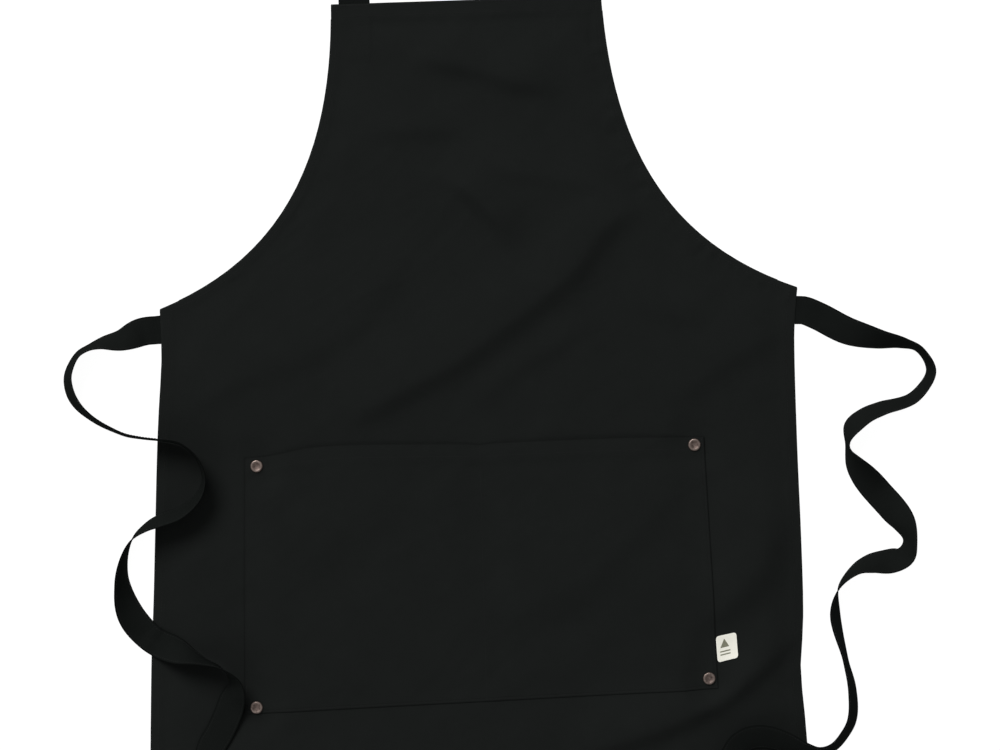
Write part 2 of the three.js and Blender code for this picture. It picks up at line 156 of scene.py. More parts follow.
# how the pocket's mouth bows up: share of its width, and rise
MOUTH_CURVE = [
    (0, 0), (0.05, 0.0013), (0.09, 0.0042), (0.14, 0.0082), (0.20, 0.0093), (0.28, 0.0086), (0.36, 0.0071),
    (0.46, 0.0050), (0.495, 0.0038), (POCKET_DIVIDE, 0.0028), (0.53, 0.0036), (0.57, 0.0040), (0.72, 0.0037),
    (0.86, 0.0027), (0.95, 0.0008), (1, 0),
]
THREAD = 0.26 * MM  # radius of a stitch
STITCH_PITCH = 3.2 * MM
STITCH_LENGTH = 2.5 * MM
STITCH_ROW = 1.6 * MM  # from a hem's inner edge to its stitching

# Folds in the laid cloth: points along each ridge, its reach to the left and to the right of that line,
# and its height. The short reach is the steep side.
FOLDS = [
    ([(0.178, 0.232), (0.133, 0.200), (0.091, 0.146), (0.046, 0.110), (0.013, 0.084), (-0.031, 0.053),
      (-0.077, 0.029), (-0.121, 0.005), (-0.160, -0.012)], 0.017, 0.055, 0.0084),
    ([(-0.052, 0.262), (-0.020, 0.240), (0.010, 0.213), (0.034, 0.182), (0.044, 0.165)],
     0.040, 0.012, 0.0088),
    ([(-0.090, 0.380), (-0.040, 0.372), (0.000, 0.363), (0.042, 0.350), (0.100, 0.345)],
     0.035, 0.013, 0.0066),
    ([(-0.135, 0.295), (-0.090, 0.299), (-0.050, 0.300), (0.000, 0.299)], 0.030, 0.012, 0.0036),
    ([(-0.010, 0.264), (0.050, 0.254), (0.100, 0.245), (0.145, 0.238)], 0.030, 0.013, 0.0036),
    ([(-0.074, 0.190), (-0.095, 0.152), (-0.121, 0.114), (-0.155, 0.081), (-0.202, 0.057), (-0.262, 0.034),
      (-0.320, 0.002)], 0.018, 0.055, 0.0036),
    ([(0.345, 0.104), (0.306, 0.082), (0.250, 0.051), (0.214, 0.022), (0.190, -0.010)], 0.016, 0.040, 0.0036),
    ([(0.140, 0.122), (0.200, 0.106), (0.255, 0.098)], 0.030, 0.014, 0.0024),
    ([(0.135, 0.108), (0.080, 0.072), (0.036, 0.044), (-0.028, -0.008)], 0.012, 0.016, 0.0022),
    ([(0.344, -0.073), (0.321, -0.106), (0.295, -0.158), (0.263, -0.197), (0.228, -0.236)],
     0.025, 0.050, 0.0094),
    ([(0.350, -0.212), (0.300, -0.264), (0.257, -0.298), (0.215, -0.322), (0.151, -0.346), (0.085, -0.364)],
     0.014, 0.035, 0.0092),
    ([(-0.335, -0.120), (-0.285, -0.160), (-0.245, -0.210)], 0.014, 0.030, 0.0024),
]
POCKET_FOLDS = [
    ([(0.215, -0.040), (0.174, -0.108), (0.122, -0.160), (0.069, -0.193), (0.004, -0.224)],
     0.023, 0.070, 0.0041),
    ([(-0.080, -0.062), (-0.155, -0.125), (-0.220, -0.190)], 0.025, 0.050, 0.0022),
]
FOLD_FADE = 60 * MM  # a fold rises and dies away over this length at its ends, or over less if it is short
FOLD_FADE_SHARE = 0.42
FOLD_WAY = np.array([[0.77, -0.64], [0.64, 0.77]])  # most folds run from upper right to lower left
PLATEAU = 2.6 * MM  # how far slack cloth stands off the floor away from its edges
PLATEAU_EDGE = 45 * MM  # it rises to that over this distance
UNDULATION = 1.1 * MM
LONG_WAVE = 75 * MM
SHORT_WAVE = 28 * MM
CREASE_HEIGHT = 0.35 * MM  # of the small creases scattered over the cloth
CREASE_SHARPNESS = 0.22
CREASE_SIZE = 34 * MM
CREASE_PATCH = 120 * MM
# the cloth is held down within the first distance, and comes free over the second
PRESSED_BY_TIE = (8 * MM, 48 * MM)
PRESSED_BY_RIVET = (7 * MM, 30 * MM)
PRESSED_BY_LABEL = (5 * MM, 36 * MM)
SOFTNESS = 0.5 * MM  # how gently the cloth comes down on what it lies on
PUCKER_SIZE = 9 * MM
FURROW_DEPTH = 0.9 * MM
FURROW_FALL = (15 * MM, 9 * MM)  # the furrow begins this far below the top edge, and sinks over this length
FURROW_RISE = (24 * MM, 60 * MM)  # and rises again


# ---- small tools ----


def smooth(t):
    t = np.clip(t, 0, 1)
    return t * t * (3 - 2 * t)


def fade(distance, reach):
    """1 at no distance, falling smoothly to 0 at the reach."""
    return 1 - smooth(distance / reach)


def bell(t):
    return np.exp(-(t**2))


def evened(values, passes):
    """Averages values with their neighbours a number of times. The first and the last stay."""
    for _ in range(passes):
        values[1:-1] = (values[:-2] + 2 * values[1:-1] + values[2:]) / 4
    return values


def unit(vectors):
    return vectors / np.linalg.norm(vectors, axis=-1, keepdims=True)


def from_point(xy, place):
    """Distance of points from one place, seen from above."""
    return np.linalg.norm(xy - place[:2], axis=-1)


def spline(stops, steps):
    """Points on the centripetal curve that part.mjs draws. Values after the third ride along."""
    p = np.array(stops, float)
    p = np.vstack([2 * p[0] - p[1], p, 2 * p[-1] - p[-2]])
    t = np.linspace(0, 1, steps, endpoint=False)[:, None]
    pieces = []
    for a, b, c, d in zip(p[:-3], p[1:-2], p[2:-1], p[3:]):
        before, span, after = (math.sqrt(np.linalg.norm((n - m)[:3])) for m, n in ((a, b), (b, c), (c, d)))
        leave = ((b - a) / before - (c - a) / (before + span) + (c - b) / span) * span
        enter = ((c - b) / span - (d - b) / (span + after) + (d - c) / after) * span
        cubic = 2 * b - 2 * c + leave + enter
        square = 3 * c - 3 * b - 2 * leave - enter
        pieces.append(b + leave * t + square * t**2 + cubic * t**3)
    return np.vstack([*pieces, p[-2]])


def lengths(line):
    return np.concatenate([[0], np.cumsum(np.linalg.norm(np.diff(line, axis=0), axis=1))])


def resample(line, at):
    """Points of a line at the given lengths along it."""
    along = lengths(line)
    return np.stack([np.interp(at, along, line[:, i]) for i in range(line.shape[1])], axis=-1)


def near(xy, line):
    """For each point: its distance to a line, and the length along the line of the nearest point."""
    a, d = line[:-1], np.diff(line, axis=0)
    span = np.linalg.norm(d, axis=1)
    rel = xy[:, None] - a[None]
    t = np.clip((rel * d).sum(2) / span**2, 0, 1)
    gap = np.linalg.norm(rel - t[..., None] * d, axis=2)
    k = gap.argmin(1)
    i = np.arange(len(xy))
    return gap[i, k], lengths(line)[k] + t[i, k] * span[k]


def ripples(points, size, seed):
    """Smooth noise from -1 to 1 at each point, with features of the given size."""
    places = np.asarray(points, float) / size
    if places.shape[1] == 2:
        places = np.column_stack([places, np.full(len(places), 0.37)])
    return np.array([noise.noise(Vector(p) + Vector((seed * 17.3, seed * 5.1, 0))) for p in places])


def add_mesh(name, points, faces, finish):
    material, slot = finish
    mesh = bpy.data.meshes.new(name)
    mesh.from_pydata(np.asarray(points, float).tolist(), [], faces)
    mesh.materials.append(material)
    mesh.shade_smooth()
    return add_object(name, mesh)


def paint(piece, name, values):
    """Puts one number, or one pair of numbers, on each point of a piece for its material to read."""
    values = np.asarray(values, np.float32)
    if values.ndim == 1:
        piece.data.attributes.new(name, "FLOAT", "POINT").data.foreach_set("value", values)
        return
    flat = np.column_stack([values, np.zeros(len(values), np.float32)]).ravel()
    piece.data.attributes.new(name, "FLOAT_VECTOR", "POINT").data.foreach_set("vector", flat)


def grid_faces(rows, columns):
    """Quads of a closed shell: an upper grid of points, then a lower one. Rows run left of the columns."""
    top, low = np.arange(2 * rows * columns).reshape(2, rows, columns)
    quads = [
        (top[:-1, :-1], top[:-1, 1:], top[1:, 1:], top[1:, :-1]),
        (low[:-1, :-1], low[1:, :-1], low[1:, 1:], low[:-1, 1:]),
        (top[0, :-1], low[0, :-1], low[0, 1:], top[0, 1:]),
        (top[-1, :-1], top[-1, 1:], low[-1, 1:], low[-1, :-1]),
        (top[:-1, 0], top[1:, 0], low[1:, 0], low[:-1, 0]),
        (top[:-1, -1], low[:-1, -1], low[1:, -1], top[1:, -1]),
    ]
    return np.vstack([np.stack([side.ravel() for side in quad], 1) for quad in quads]).tolist()


def add_shell(name, upper, lower, finish, cloth=None, wear_and_shade=None):
    """A closed sheet between two grids of points. cloth is each point's place in the flat cloth."""
    rows, columns = upper.shape[:2]
    points = np.vstack([upper.reshape(-1, 3), lower.reshape(-1, 3)])
    piece = add_mesh(name, points, grid_faces(rows, columns), finish)
    piece.data.set_sharp_from_angle(angle=math.radians(55))
    flat = points[:, :2] if cloth is None else np.tile(np.asarray(cloth).reshape(-1, 2), (2, 1))
    paint(piece, "cloth", flat)
    paint(piece, "wear_and_shade", np.zeros(len(points)) if wear_and_shade is None else np.tile(np.asarray(wear_and_shade).ravel(), 2))
    return piece


# ---- where the cloth lies: outlines read from the CAD panels ----


def plan(node):
    """The points of a CAD node, seen from above."""
    return np.array([v.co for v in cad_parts[node].data.vertices])[:, :2]


def panel_edges(node):
    """The left and right edges of a flat CAD panel, each from its bottom to its top."""
    flat = np.unique(np.round(plan(node), 6), axis=0)
    for cap in rivet_centres():
        flat = flat[from_point(flat, cap) > RIVET_HOLE]
    sides = [flat[flat[:, 0] < 0], flat[flat[:, 0] > 0]]
    return [side[side[:, 1].argsort()] for side in sides]


def middle(node):
    low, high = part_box(node)
    return np.array((low + high) / 2)


def rivet_centres():
    return [middle(n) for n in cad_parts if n.startswith("rivet_cap")]


def corner(node, right, up):
    """The corner of a CAD panel that lies furthest to the right (1) or left (-1) and up (1) or down (-1)."""
    points = plan(node)
    return points[(points @ np.array([right, up])).argmax()]


def corners_of(node):
    return {(x, y): corner(node, x, y) for x in (-1, 1) for y in (-1, 1)}


def between(corners, u, v):
    """A place between four corners, from 0 to 1 across and from 0 to 1 up."""
    low = corners[-1, -1] * (1 - u) + corners[1, -1] * u
    high = corners[-1, 1] * (1 - u) + corners[1, 1] * u
    return low * (1 - v) + high * v


def rim_of(u, v, width=1.0, height=1.0):
    """Distance from the nearest side of a sheet of that size, for places from 0 to 1 across and up."""
    return np.minimum(np.minimum(u, 1 - u) * width, np.minimum(v, 1 - v) * height)


skirt_edges = panel_edges("skirt_panel")
bib_edges = panel_edges("bib_panel")
armholes = [np.vstack([skirt[-1], bib]) for skirt, bib in zip(skirt_edges, bib_edges)]
bottom_edge = np.array([side[0] for side in skirt_edges])
top_edge = np.array([side[-1] for side in bib_edges])
pocket_corners = corners_of("pocket_panel")
label_corners = corners_of("side_label")
label_seam = np.array([label_corners[-1, 1], label_corners[-1, -1]])


def box_distance(xy, node):
    """How far points lie outside a CAD node's box, seen from above. It is 0 inside."""
    low, high = (np.array(v)[:2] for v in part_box(node))
    return np.linalg.norm(np.maximum(np.maximum(low - xy, xy - high), 0), axis=1)


MOUTH_LINE = spline(MOUTH_CURVE, 8)


def pocket_point(u, v):
    """A point of the pocket, from 0 to 1 across and from 0 to 1 up."""
    u, v = np.broadcast_arrays(np.asarray(u, float)[..., None], np.asarray(v, float)[..., None])
    bow = np.interp(u, MOUTH_LINE[:, 0], MOUTH_LINE[:, 1]) * v**2
    return between(pocket_corners, u, v) + bow * np.array([0, 1])


TIE_LINES = [spline(route, 12)[:, :2] for route in (TIE_LEFT_ROUTE, TIE_RIGHT_ROUTE)]


def support(xy):
    """1 where a hem, a sewn end or a rivet lies under the cloth, and 0 where nothing does."""
    under = np.zeros(len(xy))
    edges = [*((side, SIDE_HEM) for side in skirt_edges), *((side, ARMHOLE_HEM) for side in armholes)]
    edges += [(bottom_edge, BOTTOM_HEM), (top_edge, TOP_HEM)]
    for line, width in edges:
        under = np.maximum(under, fade(near(xy, line)[0] - width, HEM_SLOPE))
    for node in ("neck_end_left", "neck_end_right"):
        under = np.maximum(under, fade(box_distance(xy, node), END_SLOPE))
    for centre in rivet_centres():
        under = np.maximum(under, fade(from_point(xy, centre) - RIVET_SEAT, RIVET_SLOPE))
    return under


def edge_distance(xy):
    lines = [*skirt_edges, *armholes, bottom_edge, top_edge]
    return np.min([near(xy, line)[0] for line in lines], axis=0)


def ridge(xy, points, left_reach, right_reach, rise):
    """Height of one fold: a rounded ridge that is steeper on one side."""
    line = spline(points, 8)
    gap, along = near(xy, line)
    at = resample(line, along)
    heading = resample(line, along + 2 * MM) - resample(line, along - 2 * MM)
    on_left = heading[:, 0] * (xy - at)[:, 1] - heading[:, 1] * (xy - at)[:, 0] > 0
    reach = np.where(on_left, left_reach, right_reach)
    length = lengths(line)[-1]
    ends = min(FOLD_FADE, FOLD_FADE_SHARE * length)
    body = smooth(along / ends) * smooth((length - along) / ends)
    return rise * body * bell(gap / reach)


def free_of(distance, held):
    """0 where the cloth is held down, rising to 1 where it is free."""
    return smooth((distance - held[0]) / held[1])


def fold_height(xy):
    """How far the slack cloth stands off what it lies on."""
    inside = smooth(edge_distance(xy) / PLATEAU_EDGE)
    stretched = xy @ FOLD_WAY * np.array([0.45, 1.0])
    height = PLATEAU * inside
    height = height + UNDULATION * ripples(stretched, LONG_WAVE, 1) * (0.25 + 0.75 * inside)
    height += 0.45 * UNDULATION * ripples(stretched, SHORT_WAVE, 2)
    creases = 1 - np.abs(ripples(stretched * (1.0, 1.6), CREASE_SIZE, 3)) / CREASE_SHARPNESS
    height += CREASE_HEIGHT * smooth(creases) * smooth(0.5 + ripples(xy, CREASE_PATCH, 4))
    for fold in FOLDS:
        height += ridge(xy, *fold) * (0.3 + 0.7 * inside)
    pressed = np.ones(len(xy))
    for line in TIE_LINES:
        pressed *= free_of(near(xy, line)[0], PRESSED_BY_TIE)
    for centre in rivet_centres():
        pressed *= free_of(from_point(xy, centre), PRESSED_BY_RIVET)
    pressed *= free_of(from_point(xy, label_seam.mean(axis=0)), PRESSED_BY_LABEL)
    return SOFTNESS * np.logaddexp(0, height / SOFTNESS) * pressed


def puckers(xy):
    """Short ripples along the stitched hems, where the thread draws the cloth in."""
    total = np.zeros(len(xy))
    # edge, distance of the ripples' middle from it, their height and their reach to both sides
    edges = [
        (skirt_edges[0], SIDE_HEM, 0.22 * MM, 7 * MM),
        (skirt_edges[1], SIDE_HEM, 0.22 * MM, 7 * MM),
        (armholes[0], ARMHOLE_HEM, 0.6 * MM, 9 * MM),
        (armholes[1], 1.6 * ARMHOLE_HEM, 1.7 * MM, 12 * MM),
        (top_edge, TOP_HEM, 0.35 * MM, 7 * MM),
        (bottom_edge, BOTTOM_HEM, 0.25 * MM, 7 * MM),
    ]
    for seed, (line, width, size, reach) in enumerate(edges):
        gap, along = near(xy, line)
        wave = ripples(np.column_stack([along, gap * 0.3]), PUCKER_SIZE, seed + 5)
        total += size * wave * bell((gap - width) / reach)
    return total


def furrow(xy):
    """How far the slack cloth sinks just below the top hem, before it rises again further down."""
    gap = near(xy, top_edge)[0]
    return FURROW_DEPTH * free_of(gap, FURROW_FALL) * (1 - free_of(gap, FURROW_RISE))


def ground(xy):
    """Height of the body cloth's underside."""
    xy = np.asarray(xy, float)
    flat = xy.reshape(-1, 2)
    rest = LOW + (ON_HEM - LOW) * support(flat)
    height = rest + fold_height(flat) + puckers(flat) - furrow(flat)
    return np.maximum(height, rest).reshape(xy.shape[:-1])


# ---- materials ----

# the dark, the light and the worn tone of each finish
WORN_BLACK = (0.019, 0.0206, 0.0198)
CANVAS_TONES = (0.0057, 0.0066, 0.0062), (0.0112, 0.0127, 0.0120), WORN_BLACK
STRAP_TONES = (0.0053, 0.0061, 0.0057), (0.0104, 0.0118, 0.0111), WORN_BLACK
LABEL_TONES = (0.77, 0.755, 0.67), (0.89, 0.875, 0.79), (0.93, 0.92, 0.85)
INK_TONES = (0.15, 0.15, 0.10), (0.28, 0.28, 0.21), (0.45, 0.45, 0.37)
THREAD_TONES = (0.0030, 0.0034, 0.0032), (0.0076, 0.0085, 0.0081)
COPPER_TONES = (0.038, 0.024, 0.020), (0.125, 0.086, 0.075), (0.275, 0.22, 0.195)


class Nodes:
    """A short way to build one material's node tree."""

    def __init__(self, name):
        self.material = bpy.data.materials.new(name)
        self.material.use_nodes = True
        self.tree = self.material.node_tree
        self.shader = self.tree.nodes["Principled BSDF"]

    def add(self, kind, inputs=None, **settings):
        """A new node. Each of its inputs gets a value, or another node's output."""
        node = self.tree.nodes.new(f"ShaderNode{kind}")
        for key, value in settings.items():
            setattr(node, key, value)
        for key, value in (inputs or {}).items():
            self.put(value, node.inputs[key])
        return node

    def put(self, value, socket):
        if isinstance(value, bpy.types.NodeSocket):
            self.tree.links.new(value, socket)
        elif value is not None:
            socket.default_value = (*value, 1) if socket.type == "RGBA" else value

    def set(self, **inputs):
        """Values or outputs for the shader's inputs."""
        for key, value in inputs.items():
            self.put(value, self.shader.inputs[key.replace("_", " ")])

    def math(self, operation, a, b=None, c=None, clamp=False):
        return self.add("Math", {0: a, 1: b, 2: c}, operation=operation, use_clamp=clamp).outputs[0]

    def attribute(self, name):
        return self.add("Attribute", attribute_name=name)

    def scaled(self, vector, scale):
        return self.add("VectorMath", {0: vector, 1: scale}, operation="MULTIPLY").outputs[0]

    def noise(self, vector, scale, detail=3.0, roughness=0.55):
        inputs = {"Vector": vector, "Scale": scale, "Detail": detail, "Roughness": roughness}
        return self.add("TexNoise", inputs).outputs["Fac"]

    def ramp(self, factor, stops):
        node = self.add("ValToRGB", {"Fac": factor})
        elements = node.color_ramp.elements
        while len(elements) < len(stops):
            elements.new(0.5)
        for element, (place, value) in zip(elements, stops):
            element.position = place
            element.color = (value, value, value, 1)
        return node.outputs["Color"]

    def mix(self, factor, a, b):
        return self.add("Mix", {"Factor": factor, "A": a, "B": b}, data_type="RGBA").outputs["Result"]

    def bump(self, height, distance, strength=1.0, below=None):
        inputs = {"Distance": distance, "Strength": strength, "Height": height, "Normal": below}
        return self.add("Bump", inputs).outputs["Normal"]


def weave(m, place, pitch):
    """Height of a plain weave: threads of each direction pass over and under the other's."""
    split = m.add("SeparateXYZ", {0: place})
    waves = [m.math("SINE", m.math("MULTIPLY", split.outputs[i], math.pi / pitch)) for i in (0, 1)]
    threads = [m.math("ABSOLUTE", w) for w in waves]
    over = m.math("MULTIPLY_ADD", m.math("MULTIPLY", waves[0], waves[1]), 0.5, 0.5)
    warp = m.math("MULTIPLY", threads[0], over)
    weft = m.math("MULTIPLY", threads[1], m.math("SUBTRACT", 1.0, over))
    return m.math("ADD", warp, weft)


def make_cloth(
    name, pitch, dark, light, tone_marks, roughness=0.9, gloss=0.07, sheen=0.02, depth=0.22 * MM, lint=0.35
):
    """Woven cotton: thread colour that varies, slubs, lint, a worn tone on turned edges, painted shade where
    its per-point attribute is negative, and a weave.
    """
    m = Nodes(name)
    place = m.attribute("cloth").outputs["Vector"]
    wear_and_shade = m.attribute("wear_and_shade").outputs["Fac"]
    height = weave(m, place, pitch)
    slubs = m.noise(m.scaled(place, (1, 0.05, 1)), 1300)
    cross_slubs = m.noise(m.scaled(place, (0.05, 1, 1)), 1300)
    streaks = m.math("MULTIPLY", m.math("ADD", slubs, cross_slubs), 0.5)
    clouds = m.noise(place, 22, 6, 0.62)
    tone = m.math("ADD", m.math("MULTIPLY", streaks, 0.55), m.math("MULTIPLY", clouds, 0.5))
    tone = m.math("SUBTRACT", tone, 0.1)
    tone = m.math("ADD", tone, m.math("MULTIPLY", height, 0.25), clamp=True)
    colour = m.mix(tone, dark, light)
    specks = m.ramp(m.noise(place, 2300, 1), [(0.74, 0.0), (0.80, 1.0)])
    colour = m.mix(m.math("MULTIPLY", specks, lint), colour, tone_marks)
    patches = m.ramp(m.noise(place, 420, 2), [(0.3, 0.15), (0.7, 1.0)])
    colour = m.mix(m.math("MULTIPLY", m.math("MAXIMUM", wear_and_shade, 0.0), patches), colour, tone_marks)
    # painted shade: where the per-point attribute is negative, the colour darkens towards a third of the dark
    # tone; positive values are real wear
    painted_shade = m.math("MULTIPLY", wear_and_shade, -1.0, clamp=True)
    colour = m.mix(painted_shade, colour, tuple(0.3 * c for c in dark))
    m.set(Base_Color=colour, Roughness=m.math("MULTIPLY_ADD", clouds, 0.08, roughness - 0.04))
    m.set(Specular_IOR_Level=gloss, Sheen_Weight=sheen, Sheen_Roughness=0.45, Sheen_Tint=(0.75, 0.78, 0.78))
    broad = m.bump(m.noise(place, 260, 3), 0.25 * MM, 0.5)
    threads = m.math("ADD", height, m.math("MULTIPLY", streaks, 0.6))
    m.set(Normal=m.bump(threads, depth, 0.8, broad))
    return m.material


def make_thread(name, dark, light):
    m = Nodes(name)
    place = m.add("TexCoord").outputs["Object"]
    twist = m.noise(place, 2600, 1)
    m.set(Base_Color=m.mix(twist, dark, light), Normal=m.bump(twist, 0.08 * MM))
    m.set(Roughness=0.66, Specular_IOR_Level=0.2, Sheen_Weight=0.03, Sheen_Roughness=0.4)
    return m.material


def make_copper(name, dark, light, bare):
    """Antique copper: brown patina in the hollows, bare metal where the cap is rubbed."""
    m = Nodes(name)
    place = m.add("TexCoord").outputs["Object"]
    wear_and_shade = m.attribute("wear_and_shade").outputs["Fac"]
    blotches = m.noise(place, 420, 4)
    rubbed = m.math("MULTIPLY", wear_and_shade, m.ramp(blotches, [(0.25, 0.35), (0.6, 1.0)]))
    patina = m.mix(m.ramp(blotches, [(0.35, 0.0), (0.65, 1.0)]), dark, light)
    m.set(Base_Color=m.mix(rubbed, patina, bare), Roughness=m.math("MULTIPLY_ADD", rubbed, -0.2, 0.56))
    m.set(Metallic=0.85, Specular_IOR_Level=0.5)
    scratches = m.noise(m.scaled(place, (1, 0.2, 1)), 4200, 2)
    marks = m.math("ADD", scratches, m.math("MULTIPLY", blotches, 1.5))
    m.set(Normal=m.bump(marks, 0.06 * MM))
    return m.material


# each finish is a material and the record's slot for it
canvas = make_cloth("canvas_black", 0.62 * MM, *CANVAS_TONES), "canvas"
strapping = make_cloth("strap_black", 0.55 * MM, *STRAP_TONES, gloss=0.0, sheen=0.0), "strap_cotton"
label_cotton = (
    make_cloth("label_cream", 0.4 * MM, *LABEL_TONES, 0.85, depth=0.1 * MM, lint=0.1), "label_cotton"
)
label_ink = make_cloth("label_mark", 0.4 * MM, *INK_TONES, 0.8), "label_cotton"
thread = make_thread("thread_black", *THREAD_TONES), "thread_black"
copper = make_copper("copper_antique", *COPPER_TONES), "rivet_copper"


# ---- stitching: each stitch is a short swelling of thread that dips into the cloth at both ends ----

# rings of a stitch: place along it, width and rise, as shares of its length and of the thread
STITCH_RINGS = [(-0.5, 0.25, -0.7), (-0.3, 0.85, 0.2), (0.0, 1.0, 0.5), (0.3, 0.85, 0.2), (0.5, 0.25, -0.7)]
STITCH_SIDES = 6


def stitch_shape():
    """Points of one stitch, as its place along, across and above the seam, and its faces."""
    points = []
    for along, swell, rise in STITCH_RINGS:
        for k in range(STITCH_SIDES):
            turn = 2 * math.pi * k / STITCH_SIDES
            radius = THREAD * swell
            height = rise * THREAD + radius * math.sin(turn)
            points.append((along * STITCH_LENGTH, radius * math.cos(turn), height))
    faces = []
    for r in range(len(STITCH_RINGS) - 1):
        for k in range(STITCH_SIDES):
            a = r * STITCH_SIDES + k
            b = r * STITCH_SIDES + (k + 1) % STITCH_SIDES
            faces.append((a, b, b + STITCH_SIDES, a + STITCH_SIDES))
    faces.append(tuple(range(STITCH_SIDES))[::-1])
    last = (len(STITCH_RINGS) - 1) * STITCH_SIDES
    faces.append(tuple(range(last, last + STITCH_SIDES)))
    return np.array(points), faces


def add_stitches(name, runs):
    """Rows of stitches as one mesh. Each run is a line of points, and the direction that is up at each."""
    shape, shape_faces = stitch_shape()
    points, faces = [], []
    for line, ups in runs:
        total = lengths(line)[-1]
        count = max(int(total / STITCH_PITCH), 1)
        at = (np.arange(count) + 0.5) * total / count
        centre = resample(line, at)
        along = unit(resample(line, at + 0.5 * MM) - resample(line, at - 0.5 * MM))
        up = np.array([np.interp(at, lengths(line), ups[:, i]) for i in range(3)]).T
        up = unit(up - along * (up * along).sum(1)[:, None])
        axes = (along, np.cross(up, along), up)
        placed = centre[:, None] + sum(a[:, None] * shape[None, :, i, None] for i, a in enumerate(axes))
        for block in placed:
            base = len(points) * len(shape)
            points.append(block)
            faces += [tuple(base + i for i in face) for face in shape_faces]
    return add_mesh(name, np.vstack(points), faces, thread)


def upright(line, sign=1):
    return np.tile([0.0, 0.0, float(sign)], (len(line), 1))


def inset(line, distance):
    """A line moved sideways by a distance, towards the middle of the apron."""
    way = np.gradient(line, axis=0)
    across = unit(np.column_stack([-way[:, 1], way[:, 0]]))
    towards = np.sign((-line * across).sum(1))[:, None]
    return line + across * towards * distance


def evenly(line, step=3 * MM):
    total = lengths(line)[-1]
    return resample(line, np.linspace(0, total, max(int(total / step), 2)))


# ---- body cloth: skirt and bib in one ----

COLUMNS = 150
BODY_STEP = 4.2 * MM
# rows and columns of points lie closer together near an edge, at these distances from it
BOTTOM_MARKS = np.array([0, 0.35, 0.9, 3, 7, 12, 16, 18.5, 20, 21.5, 24]) * MM
TOP_MARKS = np.array([0, 0.35, 0.9, 3, 7, 11, 13.5, 15, 16.5, 19]) * MM
SIDE_MARKS = np.array([0, 0.35, 0.9, 2.5, 5, 7, 8, 9, 10, 11, 13, 16]) * MM
STEEPEST = 0.42  # where an edge runs along the rows, the marks spread out by no more than its inverse


def edge_steps(marks, far):
    """Distances from an edge: the given marks, then even steps up to far."""
    count = max(int((far - marks[-1]) / BODY_STEP), 1)
    return np.concatenate([marks, np.linspace(marks[-1], far, count + 1)[1:]])


def body_rows():
    """Ends of the body's rows of points on its left and right edges, and how the edges run there."""
    side, armhole = lengths(skirt_edges[0])[-1], lengths(armholes[0])[-1]
    parts = [
        (skirt_edges, edge_steps(BOTTOM_MARKS, side) / side),
        (armholes, 1 - edge_steps(TOP_MARKS, armhole)[::-1] / armhole),
    ]
    rows = []
    for edges, fractions in parts:
        ends = [resample(edge, fractions * lengths(edge)[-1]) for edge in edges]
        slopes = [np.gradient(end, axis=0) for end in ends]
        rows += list(zip(*ends, *slopes))[1 if rows else 0:]
    return rows


def body_grid():
    """Points of the body from row to row, and from its left edge to its right edge."""
    inner = np.linspace(0, 1, COLUMNS + 2)[1:-1]
    rows = body_rows()
    turns = []
    for left, right, *slopes in rows:
        way = unit(right - left)
        turns.append([max(abs(s[0] * way[1] - s[1] * way[0]) / np.linalg.norm(s), STEEPEST) for s in slopes])
    turns = evened(np.array(turns), 12)
    grid = []
    for (left, right, *_), turn in zip(rows, turns):
        from_left, from_right = SIDE_MARKS / turn[0], SIDE_MARKS / turn[1]
        far = np.linalg.norm(right - left) - from_right[::-1]
        along = np.concatenate([from_left, from_left[-1] + (far[0] - from_left[-1]) * inner, far])
        grid.append(left + along[:, None] * unit(right - left))
    return np.array(grid)


def bend_at_waist(piece):
    """Bakes the piece's placement into its points."""
    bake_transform(piece)


def make_body():
    xy = body_grid()
    under = ground(xy)
    gap = edge_distance(xy.reshape(-1, 2)).reshape(under.shape)
    rounding = fade(gap, EDGE_ROUND) * 0.32 * MM
    upper = np.dstack([xy, under + CLOTH - rounding])
    lower = np.dstack([xy, under + rounding])
    tone_marks = fade(gap, 2.2 * MM) * 0.15
    body = add_shell("body_cloth", upper, lower, canvas, cloth=xy, wear_and_shade=tone_marks)
    bend_at_waist(body)
    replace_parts(body, "skirt_panel", "bib_panel")


# ---- hems: the turned edge of the cloth, behind it ----


def add_hem(name, node, line, width, across_waist=False):
    """A strip behind the body cloth. Its outer rows turn up round the cloth's edge."""
    line = evenly(line)
    marks = np.array([-HEM_FROM_EDGE / MM, -0.1, 0.5, 1.5]) * MM
    marks = np.concatenate([marks, np.linspace(3 * MM, width - 0.6 * MM, 3), [width - 0.2 * MM, width]])
    xy = np.stack([inset(line, mark) for mark in marks], axis=1)
    under = ground(xy)
    turned = np.array([0.55, 0.45, 0.0] + [0.0] * (len(marks) - 3)) * MM
    ends = np.array([0.3, 0.15] + [0.0] * (len(marks) - 4) + [0.1, 0.3]) * MM
    upper = np.dstack([xy, under - HEM_GAP + turned])
    lower = np.dstack([xy, np.maximum(under - HEM_GAP - HEM_THICKNESS + ends, OFF_FLOOR)])
    tone_marks = np.tile(fade(np.maximum(marks, 0), 2 * MM) * 0.5, (len(line), 1))
    hem = add_shell(name, upper, lower, canvas, cloth=xy, wear_and_shade=tone_marks)
    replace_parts(hem, node)
    if across_waist:
        bend_at_waist(hem)
    return hem


def part_of(line, from_start, from_end, count=60):
    return resample(line, np.linspace(from_start, lengths(line)[-1] - from_end, count))


